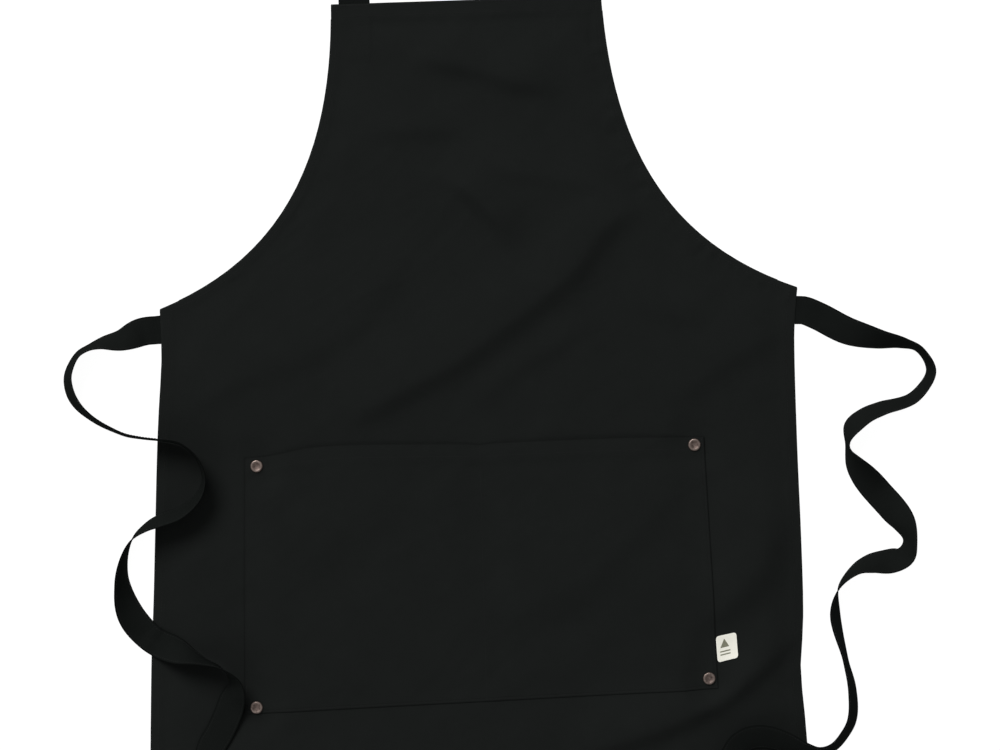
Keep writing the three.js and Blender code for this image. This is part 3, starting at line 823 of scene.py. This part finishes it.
def make_hems():
    clear = BOTTOM_HEM + 1.2 * MM
    for side, skirt, armhole in zip(("left", "right"), skirt_edges, armholes):
        hem = add_hem(f"hem_side_{side}", f"side_hem_{side}", part_of(skirt, clear, 1.2 * MM), SIDE_HEM)
        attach(hem, "skirt")
        rising = part_of(armhole, 22 * MM, TOP_HEM + 0.6 * MM)
        add_hem(f"hem_armhole_{side}", f"armhole_hem_{side}", rising, ARMHOLE_HEM, across_waist=True)
    bottom, top = (part_of(edge, 0.3 * MM, 0.3 * MM) for edge in (bottom_edge, top_edge))
    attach(add_hem("hem_bottom", "bottom_hem", bottom, BOTTOM_HEM), "skirt")
    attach(add_hem("hem_top", "bib_top_hem", top, TOP_HEM), "bib")


def seams(line, distance):
    """A row of stitches inside an edge, on the front of the body cloth and again on the back of its hem."""
    row = inset(evenly(line), distance)
    under = ground(row)
    front = np.column_stack([row, under + CLOTH + 0.02 * MM])
    back = np.column_stack([row, np.maximum(under - HEM_GAP - HEM_THICKNESS, 0.25 * MM)])
    return [(front, upright(front)), (back, upright(back, -1))]


def make_hem_stitches():
    on_skirt, crossing = [], []
    for skirt, armhole in zip(skirt_edges, armholes):
        on_skirt += seams(part_of(skirt, 2 * MM, 4 * MM), SIDE_HEM - STITCH_ROW)
        crossing += seams(part_of(armhole, 9 * MM, 3 * MM), ARMHOLE_HEM - STITCH_ROW)
    bottom, top = (part_of(edge, 3 * MM, 3 * MM) for edge in (bottom_edge, top_edge))
    on_skirt += seams(bottom, BOTTOM_HEM - STITCH_ROW)
    on_bib = seams(top, TOP_HEM - STITCH_ROW) + seams(top, 2 * MM)
    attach(add_stitches("stitches_skirt_hems", on_skirt), "skirt")
    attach(add_stitches("stitches_bib_top", on_bib), "bib")
    bend_at_waist(add_stitches("stitches_armholes", crossing))


# ---- sewn ends of the straps, behind the cloth ----


def add_sewn_end(name, node, body, outward):
    """A strap's end behind the cloth, boxed and crossed with stitches. It runs outward under the hem."""
    low, high = (np.array(v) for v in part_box(node))
    reach = np.array(outward) * SEWN_REACH
    low[:2] += np.minimum(reach, 0)
    high[:2] += np.maximum(reach, 0)
    steps = np.concatenate([[0, 0.012, 0.035], np.linspace(0.08, 0.92, 13), [0.965, 0.988, 1]])
    u, v = np.meshgrid(steps, steps)
    xy = np.dstack([low[0] + u * (high[0] - low[0]), low[1] + v * (high[1] - low[1])])
    rim = rim_of(u, v)
    rounding = fade(rim, 0.03) * 0.12 * MM
    upper = np.dstack([xy, SEWN_THICKNESS - rounding])
    lower = np.dstack([xy, OFF_FLOOR + rounding])
    patch = add_shell(name, upper, lower, strapping, cloth=xy, wear_and_shade=fade(rim, 0.05) * 0.4)
    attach(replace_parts(patch, node), body)
    a, b = (np.array(v)[:2] + inwards * 3 * MM for v, inwards in zip(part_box(node), (1, -1)))
    corners = [a, (b[0], a[1]), b, (a[0], b[1])]
    lines = [(corners[i], corners[(i + 1) % 4]) for i in range(4)]
    lines += [(corners[0], corners[2]), (corners[1], corners[3])]
    runs = []
    for line in lines:
        row = evenly(np.array(line, float))
        back = np.column_stack([row, np.full(len(row), 0.12 * MM)])
        runs.append((back, upright(back, -1)))
    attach(add_stitches(f"stitches_{name}", runs), body)


def make_sewn_ends():
    add_sewn_end("strap_tail_left", "neck_end_left", "bib", (0, 1))
    add_sewn_end("strap_tail_right", "neck_end_right", "bib", (0, 1))
    add_sewn_end("tie_tail_left", "tie_end_left", "skirt", (-1, 0))
    add_sewn_end("tie_tail_right", "tie_end_right", "skirt", (1, 0))


# ---- pocket ----

POCKET_GAP = 0.25 * MM
POCKET_SEAM = 2.6 * MM  # the stitching lies this far inside the pocket's edge
MOUTH_HEM = 15 * MM
MOUTH_STEP = 8.5 * MM  # the pocket rises onto its turned mouth over this length
POCKET_RISE = 34 * MM  # it comes off the skirt over this distance from its seams and rivets
SEAM_SINK = 0.28 * MM  # its stitching sinks in by this much
POCKET_STEP = 4.2 * MM
# places of its points, in millimetres from its sides, and more of them at its mouth
POCKET_MARKS = [0, 0.35, 0.9, 1.6, 2.1, 2.6, 3.1, 4.2, 6.5, 10]
MOUTH_MARKS = [13.5, 15, 17.5, 20]
POCKET_WIDTH = np.linalg.norm(pocket_corners[1, 1] - pocket_corners[-1, 1])
POCKET_HEIGHT = np.linalg.norm(pocket_corners[-1, 1] - pocket_corners[-1, -1])


def pocket_slack(u, v):
    """How far the pocket stands off the skirt: nothing at its seams and rivets, most at its mouth."""
    seam, divider, rivet = ((near_by, POCKET_RISE) for near_by in (3 * MM, 1 * MM, 8 * MM))
    free = free_of(u * POCKET_WIDTH, seam) * free_of((1 - u) * POCKET_WIDTH, seam)
    free = free * free_of(np.abs(u - POCKET_DIVIDE) * POCKET_WIDTH, divider)
    free = free * free_of(v * POCKET_HEIGHT, seam)
    xy = pocket_point(u, v)
    for centre in rivet_centres():
        free = free * free_of(from_point(xy, centre), rivet)
    shape = np.shape(free)
    flat = xy.reshape(-1, 2)
    wave = ripples((flat @ FOLD_WAY) * (0.6, 1.0), 60 * MM, 11)
    fine = ripples(flat, 22 * MM, 12)
    slack = (1.2 + 1.2 * smooth((v - 0.55) / 0.45)) * MM
    folds = sum(ridge(flat, *fold) for fold in POCKET_FOLDS).reshape(shape)
    return free * np.maximum(slack + folds + (0.8 * wave + 0.25 * fine).reshape(shape) * MM, 0.1 * MM)


def pocket_under(u, v):
    """Height of the pocket panel's underside."""
    over_hem = LAYER * smooth((v * POCKET_HEIGHT - (POCKET_HEIGHT - MOUTH_HEM - 9 * MM)) / MOUTH_STEP)
    return ground(pocket_point(u, v)) + CLOTH + POCKET_GAP + over_hem * MOUTH_SHARE + pocket_slack(u, v)


def pocket_marks(length, marks):
    """Places from 0 to 1 along a pocket's side, closer together near its seams."""
    marks = np.array(marks) * MM
    inner = np.linspace(marks[-1], length - marks[-1], int((length - 2 * marks[-1]) / POCKET_STEP) + 1)
    return np.concatenate([marks[:-1], inner, length - marks[:-1][::-1]]) / length


def add_pocket_part(name, u, v, thickness, under):
    """A sheet of the pocket over a grid of places across and up. under gives the height of its underside."""
    u, v = np.meshgrid(u, v)
    xy = pocket_point(u, v)
    low = under(u, v)
    rim = rim_of(u, v, POCKET_WIDTH, POCKET_HEIGHT)
    side_rim = np.minimum(np.minimum(u, 1 - u) * POCKET_WIDTH, v * POCKET_HEIGHT)
    rounding = fade(rim, 1.1 * MM) * thickness * 0.38
    stitched = SEAM_SINK * bell((side_rim - POCKET_SEAM) / (0.7 * MM))
    upper = np.dstack([xy, low + thickness - rounding - stitched])
    drop = fade(side_rim, 1.0 * MM) * POCKET_GAP
    lower = np.dstack([xy, low + rounding * 0.5 - drop])
    at_bottom = fade(v * POCKET_HEIGHT, 4 * MM)
    # painted shade: the pocket darkens within 1.7 mm of its rim, less along its bottom edge, for the shade in
    # the gap at its edges
    tone_marks = (0.3 * at_bottom - 0.55) * fade(rim, 1.7 * MM)
    return add_shell(name, upper, lower, canvas, cloth=xy, wear_and_shade=tone_marks)


def make_pocket():
    u = pocket_marks(POCKET_WIDTH, POCKET_MARKS)
    v = pocket_marks(POCKET_HEIGHT, POCKET_MARKS + MOUTH_MARKS)
    pocket = add_pocket_part("pocket", u, v, POCKET_THICKNESS, pocket_under)
    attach(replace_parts(pocket, "pocket_panel"), "skirt")

    def hem_under(u, v):
        return ground(pocket_point(u, v)) + CLOTH + POCKET_GAP * 0.6 + pocket_slack(u, v)

    start = 1 - MOUTH_HEM / POCKET_HEIGHT
    inside = u[(u > 0.004) & (u < 0.996)]
    hem_rows = start + (1 - start) * np.array([0, 0.03, 0.25, 0.5, 0.75, 0.93, 0.975])
    hem = add_pocket_part("pocket_mouth_turned", inside, hem_rows, LAYER * MOUTH_SHARE - 0.15 * MM, hem_under)
    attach(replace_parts(hem, "pocket_mouth_hem"), "skirt")


def pocket_line(u, v, above=0.0, count=90):
    """A line on the pocket's face through places given as shares across and up."""
    u, v = (np.interp(np.linspace(0, 1, count), np.linspace(0, 1, len(w)), w) for w in (u, v))
    points = np.column_stack([pocket_point(u, v), pocket_under(u, v) + POCKET_THICKNESS - 0.2 * MM + above])
    return points, upright(points)


def make_pocket_stitches():
    across, up = POCKET_SEAM / POCKET_WIDTH, POCKET_SEAM / POCKET_HEIGHT
    mouth = 1 - (MOUTH_HEM - STITCH_ROW) / POCKET_HEIGHT
    runs = [
        pocket_line((across, across), (up, 1 - up)),
        pocket_line((1 - across, 1 - across), (up, 1 - up)),
        pocket_line((across, 1 - across), (up, up)),
        pocket_line((2 * across, 1 - 2 * across), (mouth, mouth), 0.06 * MM),
        pocket_line((POCKET_DIVIDE, POCKET_DIVIDE), (up, 1 - up), 0.07 * MM),
    ]
    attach(add_stitches("stitches_pocket", runs), "skirt")


# ---- rivets ----

RIVET_SIDES = 48
CAP_SINK = 0.15 * MM  # a cap is pressed into the pocket by this much
# profiles of a cap and of a back with its post: radius and height in millimetres
CAP_PROFILE = [
    (0.0, 1.05), (0.7, 1.07), (1.4, 1.14), (2.1, 1.26), (2.8, 1.42), (3.5, 1.62), (4.1, 1.84), (4.6, 1.98),
    (5.1, 2.05), (5.6, 2.0), (6.05, 1.8), (6.4, 1.42), (6.6, 0.9), (6.65, 0.4), (6.4, 0.0), (0.0, 0.0),
]
# how rubbed each ring of a cap is
CAP_WEAR = [0.55, 0.5, 0.4, 0.3, 0.25, 0.3, 0.45, 0.7, 0.9, 0.85, 0.6, 0.3, 0.1, 0, 0, 0]
BACK_PROFILE = [
    (0.0, 0.0), (4.6, 0.0), (5.2, 0.1), (5.5, 0.4), (5.4, 0.75), (5.0, 0.95), (1.6, 0.98), (1.4, 1.05),
    (1.4, 2.6), (0.0, 2.6),
]


def add_turned(name, profile, centre, wear_and_shade=None):
    """A solid of revolution about a vertical axis. The profile gives radius and height in millimetres."""
    points, faces, tone_marks, rings = [], [], [], []
    for i, (radius, height) in enumerate(np.array(profile) * MM):
        count = 1 if radius == 0 else RIVET_SIDES
        rings.append(range(len(points), len(points) + count))
        for k in range(count):
            turn = 2 * math.pi * k / RIVET_SIDES
            x, y = centre[0] + radius * math.cos(turn), centre[1] + radius * math.sin(turn)
            points.append((x, y, centre[2] + height))
            tone_marks.append(0 if wear_and_shade is None else wear_and_shade[i])
    for a, b in zip(rings[:-1], rings[1:]):
        for k in range(RIVET_SIDES):
            n = (k + 1) % RIVET_SIDES
            loop = [a[k % len(a)], b[k % len(b)], b[n % len(b)], a[n % len(a)]]
            faces.append(tuple(dict.fromkeys(loop)))
    turned = add_mesh(name, points, faces, copper)
    turned.data.set_sharp_from_angle(angle=math.radians(50))
    paint(turned, "wear_and_shade", tone_marks)
    return turned


def make_rivets():
    grid_u, grid_v = np.meshgrid(np.linspace(0, 1, 201), np.linspace(0, 1, 201))
    grid = pocket_point(grid_u, grid_v)
    for place in ("top_left", "top_right", "bottom_left", "bottom_right"):
        x, y = middle(f"rivet_cap_{place}")[:2]
        gap = from_point(grid, (x, y))
        k = np.unravel_index(gap.argmin(), gap.shape)
        face = float(pocket_under(grid_u[k], grid_v[k])) + POCKET_THICKNESS
        cap = add_turned(f"cap_{place}", CAP_PROFILE, (x, y, face - CAP_SINK), CAP_WEAR)
        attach(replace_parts(cap, f"rivet_cap_{place}"), "skirt")
        back = add_turned(f"post_{place}", BACK_PROFILE, (x, y, OFF_FLOOR))
        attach(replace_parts(back, f"rivet_back_{place}"), "skirt")


# ---- side label ----

LABEL_WIDTH = 21 * MM
LABEL_HEIGHT = 27 * MM
LABEL_PLY = 0.5 * MM
LABEL_CURL = 1.3 * MM  # its free edge lifts by this much
LABEL_OFF_CLOTH = 0.15 * MM  # it keeps this far off the cloth
PLY_GAP = 0.06 * MM  # between its two plies
PRINT_THICKNESS = 0.1 * MM
LABEL_ROUND = 0.13  # its corners are rounded over this share of its sides


def label_point(u, v):
    """A point of the label's underside: 0 to 1 away from its seam, and 0 to 1 up."""
    u, v = (np.asarray(w, float)[..., None] for w in (u, v))
    xy = between(label_corners, u, v)
    rise = LABEL_CURL * u**2 * (0.65 + 0.35 * v)
    return np.dstack([xy, ground(xy)[..., None] + CLOTH + LABEL_OFF_CLOTH + rise])


def rounded(u, v):
    """Moves places on a square so that its corners become round."""
    pulls = []
    for w in (u, v):
        pulls.append(np.maximum(np.abs(2 * w - 1) - (1 - 2 * LABEL_ROUND), 0) / (2 * LABEL_ROUND))
    a, b = pulls
    return [
        w - np.sign(2 * w - 1) * LABEL_ROUND * own * (1 - np.sqrt(1 - other**2 / 2))
        for w, own, other in ((u, a, b), (v, b, a))
    ]


def bend_at_seam(piece):
    """Bakes the piece's placement into its points."""
    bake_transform(piece)


def make_label():
    steps = np.concatenate([[0, 0.015, 0.045, 0.08], np.linspace(0.12, 0.88, 17), [0.92, 0.955, 0.985, 1]])
    across, up = np.meshgrid(steps, steps)
    rim = rim_of(across, up)
    u, v = rounded(across, up)
    base = label_point(u, v)
    rounding = fade(rim, 0.045)[..., None] * np.array([0, 0, 0.14 * MM])
    size = np.dstack([u * LABEL_WIDTH, v * LABEL_HEIGHT])
    wear_and_shade = fade(rim, 0.08) * 0.5
    for name, level in (("label_front_ply", LABEL_PLY + PLY_GAP), ("label_back_ply", 0)):
        upper = base + np.array([0, 0, level + LABEL_PLY]) - rounding
        lower = base + np.array([0, 0, level]) + rounding
        ply = add_shell(name, upper, lower, label_cotton, cloth=size, wear_and_shade=wear_and_shade)
        if level:
            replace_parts(ply, "side_label")
        bend_at_seam(ply)
    make_label_mark()


def add_print(name, low, high, narrow=0.0):
    """A thin printed shape between two corners, as shares across the label and up. It may taper upwards."""
    s, t = np.meshgrid(np.linspace(0, 1, 13), np.linspace(0, 1, 9))
    centre = (low[0] + high[0]) / 2
    half = (high[0] - low[0]) / 2 * (1 - narrow * t)
    u, v = centre + (2 * s - 1) * half, low[1] + (high[1] - low[1]) * t
    face = label_point(u, v) + (0, 0, 2 * LABEL_PLY + PLY_GAP)
    size = np.dstack([u * LABEL_WIDTH, v * LABEL_HEIGHT])
    upper, lower = (face + (0, 0, side * PRINT_THICKNESS / 2) for side in (1, -1))
    printed = add_shell(name, upper, lower, label_ink, cloth=size)
    bend_at_seam(printed)


def make_label_mark():
    """A generic mark: a plain triangle over two plain bars."""
    add_print("label_triangle", (0.18, 0.52), (0.62, 0.84), narrow=0.94)
    add_print("label_bar_1", (0.16, 0.345), (0.66, 0.395))
    add_print("label_bar_2", (0.16, 0.225), (0.66, 0.275))


# ---- straps ----


def strap_frames(route, width, tails):
    """Along a strap: its centres, the directions across it and out of its face, and its thickness."""
    line = spline(route, 14)
    along = lengths(line[:, :2])
    at = np.linspace(0, along[-1], int(along[-1] / STRAP_STEP))
    x, y, rest, lean = (np.interp(at, along, line[:, i]) for i in range(4))
    lean = np.radians(evened(lean, 4))
    thick = np.full(len(at), STRAP_THICKNESS)
    for tail, gap in ((tails[0], at), (tails[1], at[-1] - at)):
        if tail:
            thick *= 0.35 + 0.65 * smooth(gap / STRAP_TAPER)
    heading = unit(np.gradient(np.column_stack([x, y]), axis=0))
    heading = np.column_stack([heading, np.zeros(len(at))])
    side = np.column_stack([-heading[:, 1], heading[:, 0], np.zeros(len(at))])
    across = side * np.cos(lean)[:, None] + np.array([0, 0, 1]) * np.sin(lean)[:, None]
    face = np.cross(heading, across)
    rise = width / 2 * np.abs(np.sin(lean)) + thick / 2 * np.abs(np.cos(lean))
    centre = np.column_stack([x, y, np.maximum(rest, 0) + rise])
    for tail, end in ((tails[0], 0), (tails[1], -1)):
        if tail:
            centre, across, face, thick = grow_tail(centre, across, face, thick, end)
    return centre, across, face, thick


def grow_tail(centre, across, face, thick, end):
    """Carries a strap's end on for a few millimetres under the hem that it is sewn into."""
    step = centre[end] - centre[1 if end == 0 else -2]
    step = step * (1, 1, 0) / np.linalg.norm(step) * TAIL / 2
    extra = np.array([centre[end] + step, centre[end] + 2 * step])
    rows = [(extra, centre), *((grid[[end, end]], grid) for grid in (across, face, thick))]
    if end == 0:
        return [np.concatenate([more[::-1], grid]) for more, grid in rows]
    return [np.concatenate([grid, more]) for more, grid in rows]


def add_strap(name, node, route, width, length, body, tails, far_end):
    """A flat strap along its route. tails says which of its ends are sewn in."""
    centre, across, face, thick = strap_frames(route, width, tails)
    w = width / 2
    seam_at = w - STRAP_SEAM
    half = w - STRAP_MARKS
    places = np.concatenate([-half, [0], half[::-1]])
    rim = w - np.abs(places)
    swell = 0.5 - 0.38 * fade(rim, EDGE_ROUND)
    swell -= 0.17 * bell((np.abs(places) - seam_at) / (0.6 * MM))
    along = lengths(centre)
    wave = ripples(np.column_stack([along, np.zeros(len(along))]), 17 * MM, len(name))
    cup = (0.5 * MM * (places / w) ** 2 - 0.17 * MM)[None] * (0.6 + wave[:, None])
    rows = centre[:, None] + across[:, None] * places[None, :, None] + face[:, None] * cup[..., None]
    depth = face[:, None] * (thick[:, None] * swell[None])[..., None]
    upper, lower = rows + depth, rows - depth
    lift = np.maximum(OFF_FLOOR - np.minimum(lower, upper)[..., 2].min(axis=1), 0)
    for grid in (upper, lower):
        grid[..., 2] += lift[:, None]
    cloth = np.dstack(np.broadcast_arrays(along[:, None], places[None]))
    # painted shade: the strap darkens along its edges, within 1.6 mm of them
    tone_marks = np.tile(fade(rim, 1.6 * MM) * -0.55, (len(centre), 1))
    strap = add_shell(name, upper, lower, strapping, cloth=cloth, wear_and_shade=tone_marks)
    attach(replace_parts(strap, node), body)
    centre = centre + np.column_stack([np.zeros((len(centre), 2)), lift])
    runs = []
    for place in (-seam_at, seam_at):
        for out in (1, -1):
            line = centre + across * place + face * (out * thick * 0.33)[:, None]
            runs.append((line[3:-3], face[3:-3] * out))
    stitches = add_stitches(f"stitches_{name}", runs)
    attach(stitches, body)


def make_straps():
    tie = (TIE_WIDTH, TIE_LENGTH, "skirt", (True, False), "bare")
    add_strap("tie_left", "waist_tie_left", TIE_LEFT_ROUTE, *tie)
    add_strap("tie_right", "waist_tie_right", TIE_RIGHT_ROUTE, *tie)
    add_strap("neck_loop", "neck_strap", NECK_ROUTE, NECK_WIDTH, NECK_LENGTH, "bib", (True, True), "object")


# ---- floor and lights ----

FLOOR_HALF = 40
FLOOR_TONE = 0.12
FLOOR_GLOW = 0.97
WORLD_STRENGTH = 0.36
# place, size and power of each lamp
KEY = ((-3.78, 6.54, 7.29), 6.0, 960)
FILL = ((-1.8, -2.2, 2.6), 1.6, 12)


def make_floor():
    mesh = bpy.data.meshes.new("floor")
    corners = [(x * FLOOR_HALF, y * FLOOR_HALF, 0) for x, y in ((-1, -1), (1, -1), (1, 1), (-1, 1))]
    mesh.from_pydata(corners, [], [(0, 1, 2, 3)])
    m = Nodes("floor_white")
    m.set(Base_Color=(FLOOR_TONE, FLOOR_TONE, FLOOR_TONE), Roughness=0.95, Specular_IOR_Level=0.05)
    m.set(Emission_Color=(1, 1, 1), Emission_Strength=FLOOR_GLOW)
    mesh.materials.append(m.material)
    add_object("floor", mesh)


def add_light(name, place, size, power):
    """A round lamp that points at the middle of the apron."""
    data = bpy.data.lights.new(name, "AREA")
    data.shape = "DISK"
    data.size = size
    data.energy = power
    light = add_object(name, data)
    light.location = place
    light.rotation_euler = (-Vector(place)).to_track_quat("-Z", "Y").to_euler()


def make_lights():
    world = bpy.data.worlds.new("studio")
    world.use_nodes = True
    background = world.node_tree.nodes["Background"]
    background.inputs["Color"].default_value = (1, 1, 1, 1)
    background.inputs["Strength"].default_value = WORLD_STRENGTH
    bpy.context.scene.world = world
    add_light("key", *KEY)
    add_light("fill", *FILL)
    bpy.context.scene.view_settings.view_transform = "Standard"


make_camera()
make_straps()
make_body()
make_hems()
make_hem_stitches()
make_sewn_ends()
make_pocket()
make_pocket_stitches()
make_rivets()
make_label()
make_floor()
make_lights()
